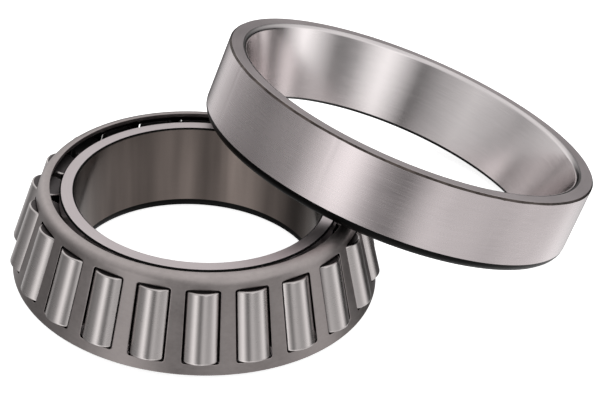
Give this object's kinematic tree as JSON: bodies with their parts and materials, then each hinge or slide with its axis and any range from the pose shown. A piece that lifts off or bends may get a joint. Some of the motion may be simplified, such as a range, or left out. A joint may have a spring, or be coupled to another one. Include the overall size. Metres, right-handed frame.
{
  "type": "tapered roller bearing",
  "caption": "Single-row tapered roller bearing with its inner ring, cage and rollers standing on the back face and its separable outer ring leaning on the cage.",
  "frame": {"origin": "centre of the shaft bore, on the inner ring's back face", "axes": "+Z along the bearing's axis, from the inner ring's back face to its front face; the outer ring leans at the +X +Y side"},
  "size_m": [0.22, 0.1967, 0.0768],
  "materials": {
    "inner_ring_steel": "ground bearing steel, dark in the bore, satin on the faces",
    "outer_ring_steel": "ground bearing steel with a polished raceway",
    "cage_steel": "satin pressed sheet steel",
    "roller_steel": "finely ground and polished bearing steel"
  },
  "bodies": {
    "inner_ring": {"inner_ring": "inner_ring_steel"},
    "cage": {"cage": "cage_steel"},
    "roller_01": {"roller_01": "roller_steel"},
    "roller_02": {"roller_02": "roller_steel"},
    "roller_03": {"roller_03": "roller_steel"},
    "roller_04": {"roller_04": "roller_steel"},
    "roller_05": {"roller_05": "roller_steel"},
    "roller_06": {"roller_06": "roller_steel"},
    "roller_07": {"roller_07": "roller_steel"},
    "roller_08": {"roller_08": "roller_steel"},
    "roller_09": {"roller_09": "roller_steel"},
    "roller_10": {"roller_10": "roller_steel"},
    "roller_11": {"roller_11": "roller_steel"},
    "roller_12": {"roller_12": "roller_steel"},
    "roller_13": {"roller_13": "roller_steel"},
    "roller_14": {"roller_14": "roller_steel"},
    "roller_15": {"roller_15": "roller_steel"},
    "roller_16": {"roller_16": "roller_steel"},
    "roller_17": {"roller_17": "roller_steel"},
    "roller_18": {"roller_18": "roller_steel"},
    "roller_19": {"roller_19": "roller_steel"},
    "roller_20": {"roller_20": "roller_steel"},
    "roller_21": {"roller_21": "roller_steel"},
    "roller_22": {"roller_22": "roller_steel"},
    "outer_ring": {"outer_ring": "outer_ring_steel"}
  },
  "joints": [
    {"name": "cage_orbit", "type": "hinge", "parent": "inner_ring", "child": "cage", "pos_m": [0, 0, 0], "axis": [0, 0, 1], "continuous": true},
    {"name": "roller_01_spin", "type": "hinge", "parent": "cage", "child": "roller_01", "pos_m": [0.00768, -0.0621, 0.00705], "axis": [-0.0311, 0.2511, 0.9674], "continuous": true},
    {"name": "roller_02_spin", "type": "hinge", "parent": "cage", "child": "roller_02", "pos_m": [0.02486, -0.05742, 0.00705], "axis": [-0.1006, 0.2322, 0.9674], "continuous": true},
    {"name": "roller_03_spin", "type": "hinge", "parent": "cage", "child": "roller_03", "pos_m": [0.04003, -0.04809, 0.00705], "axis": [-0.1619, 0.1945, 0.9674], "continuous": true},
    {"name": "roller_04_spin", "type": "hinge", "parent": "cage", "child": "roller_04", "pos_m": [0.05196, -0.03486, 0.00705], "axis": [-0.2101, 0.141, 0.9674], "continuous": true},
    {"name": "roller_05_spin", "type": "hinge", "parent": "cage", "child": "roller_05", "pos_m": [0.05968, -0.01881, 0.00705], "axis": [-0.2414, 0.0761, 0.9674], "continuous": true},
    {"name": "roller_06_spin", "type": "hinge", "parent": "cage", "child": "roller_06", "pos_m": [0.06256, -0.00124, 0.00705], "axis": [-0.253, 0.005, 0.9674], "continuous": true},
    {"name": "roller_07_spin", "type": "hinge", "parent": "cage", "child": "roller_07", "pos_m": [0.06037, 0.01644, 0.00705], "axis": [-0.2442, -0.0665, 0.9674], "continuous": true},
    {"name": "roller_08_spin", "type": "hinge", "parent": "cage", "child": "roller_08", "pos_m": [0.0533, 0.03278, 0.00705], "axis": [-0.2156, -0.1326, 0.9674], "continuous": true},
    {"name": "roller_09_spin", "type": "hinge", "parent": "cage", "child": "roller_09", "pos_m": [0.0419, 0.04647, 0.00705], "axis": [-0.1695, -0.1879, 0.9674], "continuous": true},
    {"name": "roller_10_spin", "type": "hinge", "parent": "cage", "child": "roller_10", "pos_m": [0.02711, 0.05639, 0.00705], "axis": [-0.1097, -0.2281, 0.9674], "continuous": true},
    {"name": "roller_11_spin", "type": "hinge", "parent": "cage", "child": "roller_11", "pos_m": [0.01013, 0.06174, 0.00705], "axis": [-0.041, -0.2497, 0.9674], "continuous": true},
    {"name": "roller_12_spin", "type": "hinge", "parent": "cage", "child": "roller_12", "pos_m": [-0.00768, 0.0621, 0.00705], "axis": [0.0311, -0.2511, 0.9674], "continuous": true},
    {"name": "roller_13_spin", "type": "hinge", "parent": "cage", "child": "roller_13", "pos_m": [-0.02486, 0.05742, 0.00705], "axis": [0.1006, -0.2322, 0.9674], "continuous": true},
    {"name": "roller_14_spin", "type": "hinge", "parent": "cage", "child": "roller_14", "pos_m": [-0.04003, 0.04809, 0.00705], "axis": [0.1619, -0.1945, 0.9674], "continuous": true},
    {"name": "roller_15_spin", "type": "hinge", "parent": "cage", "child": "roller_15", "pos_m": [-0.05196, 0.03486, 0.00705], "axis": [0.2101, -0.141, 0.9674], "continuous": true},
    {"name": "roller_16_spin", "type": "hinge", "parent": "cage", "child": "roller_16", "pos_m": [-0.05968, 0.01881, 0.00705], "axis": [0.2414, -0.0761, 0.9674], "continuous": true},
    {"name": "roller_17_spin", "type": "hinge", "parent": "cage", "child": "roller_17", "pos_m": [-0.06256, 0.00124, 0.00705], "axis": [0.253, -0.005, 0.9674], "continuous": true},
    {"name": "roller_18_spin", "type": "hinge", "parent": "cage", "child": "roller_18", "pos_m": [-0.06037, -0.01644, 0.00705], "axis": [0.2442, 0.0665, 0.9674], "continuous": true},
    {"name": "roller_19_spin", "type": "hinge", "parent": "cage", "child": "roller_19", "pos_m": [-0.0533, -0.03278, 0.00705], "axis": [0.2156, 0.1326, 0.9674], "continuous": true},
    {"name": "roller_20_spin", "type": "hinge", "parent": "cage", "child": "roller_20", "pos_m": [-0.0419, -0.04647, 0.00705], "axis": [0.1695, 0.1879, 0.9674], "continuous": true},
    {"name": "roller_21_spin", "type": "hinge", "parent": "cage", "child": "roller_21", "pos_m": [-0.02711, -0.05639, 0.00705], "axis": [0.1097, 0.2281, 0.9674], "continuous": true},
    {"name": "roller_22_spin", "type": "hinge", "parent": "cage", "child": "roller_22", "pos_m": [-0.01013, -0.06174, 0.00705], "axis": [0.041, 0.2497, 0.9674], "continuous": true},
    {"name": "outer_ring_spin", "type": "hinge", "parent": "inner_ring", "child": "outer_ring", "pos_m": [0.06927, 0.04752, 0.02375], "axis": [0.2761, 0.1725, 0.9455], "continuous": true}
  ],
  "couplings": [
    {"joint": "roller_01_spin", "follows": "cage_orbit", "ratio": 7.6038},
    {"joint": "roller_02_spin", "follows": "cage_orbit", "ratio": 7.6038},
    {"joint": "roller_03_spin", "follows": "cage_orbit", "ratio": 7.6038},
    {"joint": "roller_04_spin", "follows": "cage_orbit", "ratio": 7.6038},
    {"joint": "roller_05_spin", "follows": "cage_orbit", "ratio": 7.6038},
    {"joint": "roller_06_spin", "follows": "cage_orbit", "ratio": 7.6038},
    {"joint": "roller_07_spin", "follows": "cage_orbit", "ratio": 7.6038},
    {"joint": "roller_08_spin", "follows": "cage_orbit", "ratio": 7.6038},
    {"joint": "roller_09_spin", "follows": "cage_orbit", "ratio": 7.6038},
    {"joint": "roller_10_spin", "follows": "cage_orbit", "ratio": 7.6038},
    {"joint": "roller_11_spin", "follows": "cage_orbit", "ratio": 7.6038},
    {"joint": "roller_12_spin", "follows": "cage_orbit", "ratio": 7.6038},
    {"joint": "roller_13_spin", "follows": "cage_orbit", "ratio": 7.6038},
    {"joint": "roller_14_spin", "follows": "cage_orbit", "ratio": 7.6038},
    {"joint": "roller_15_spin", "follows": "cage_orbit", "ratio": 7.6038},
    {"joint": "roller_16_spin", "follows": "cage_orbit", "ratio": 7.6038},
    {"joint": "roller_17_spin", "follows": "cage_orbit", "ratio": 7.6038},
    {"joint": "roller_18_spin", "follows": "cage_orbit", "ratio": 7.6038},
    {"joint": "roller_19_spin", "follows": "cage_orbit", "ratio": 7.6038},
    {"joint": "roller_20_spin", "follows": "cage_orbit", "ratio": 7.6038},
    {"joint": "roller_21_spin", "follows": "cage_orbit", "ratio": 7.6038},
    {"joint": "roller_22_spin", "follows": "cage_orbit", "ratio": 7.6038}
  ]
}
